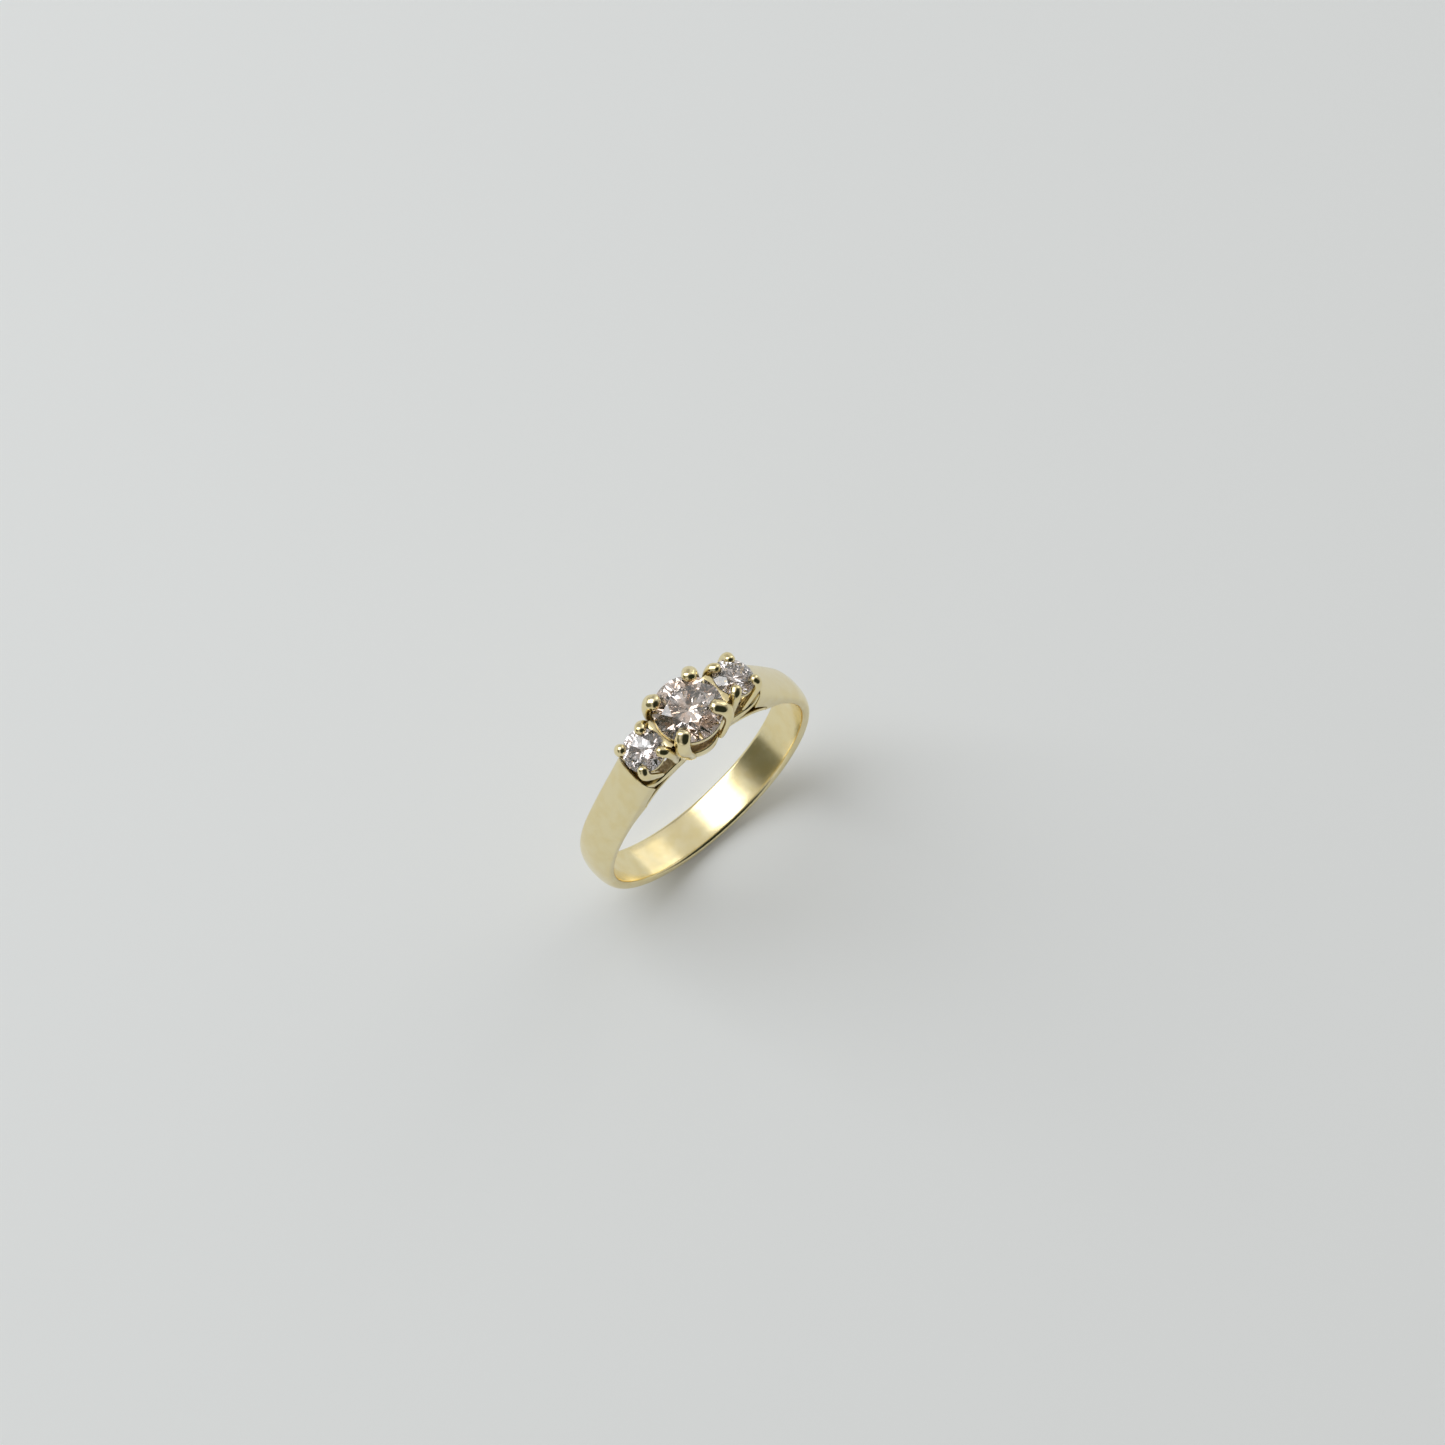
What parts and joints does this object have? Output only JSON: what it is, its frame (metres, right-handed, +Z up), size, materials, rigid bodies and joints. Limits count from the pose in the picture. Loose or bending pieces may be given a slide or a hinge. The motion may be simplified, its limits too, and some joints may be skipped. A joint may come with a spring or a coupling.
{
  "type": "three-stone engagement ring",
  "caption": "Finger ring: a domed gold band with rising shoulders that carries round brilliants in open claw settings.",
  "frame": {"origin": "lowest point of the band, under the centre stone and midway across the band", "axes": "+Z up from the band to the centre stone, +X across the three stones, +Y along the finger hole"},
  "size_m": [0.0188, 0.0048, 0.0228],
  "materials": {
    "gold": "satin-polished pale yellow gold",
    "centre_stone": "polished brilliant facets, faint champagne tint",
    "side_stone": "polished brilliant facets, near colourless"
  },
  "bodies": {
    "root": {"shank": "gold", "under_rail": "gold", "gallery": "gold", "centre_diamond": "centre_stone", "centre_bearing_rail": "gold", "left_diamond": "side_stone", "left_bearing_rail": "gold", "right_diamond": "side_stone", "right_bearing_rail": "gold", "centre_claw_front_left": "gold", "centre_claw_front_right": "gold", "centre_claw_back_left": "gold", "centre_claw_back_right": "gold", "left_claw_front_inner": "gold", "left_claw_front_outer": "gold", "left_claw_back_inner": "gold", "left_claw_back_outer": "gold", "right_claw_front_inner": "gold", "right_claw_front_outer": "gold", "right_claw_back_inner": "gold", "right_claw_back_outer": "gold", "left_saddle": "gold", "right_saddle": "gold"}
  },
  "joints": []
}
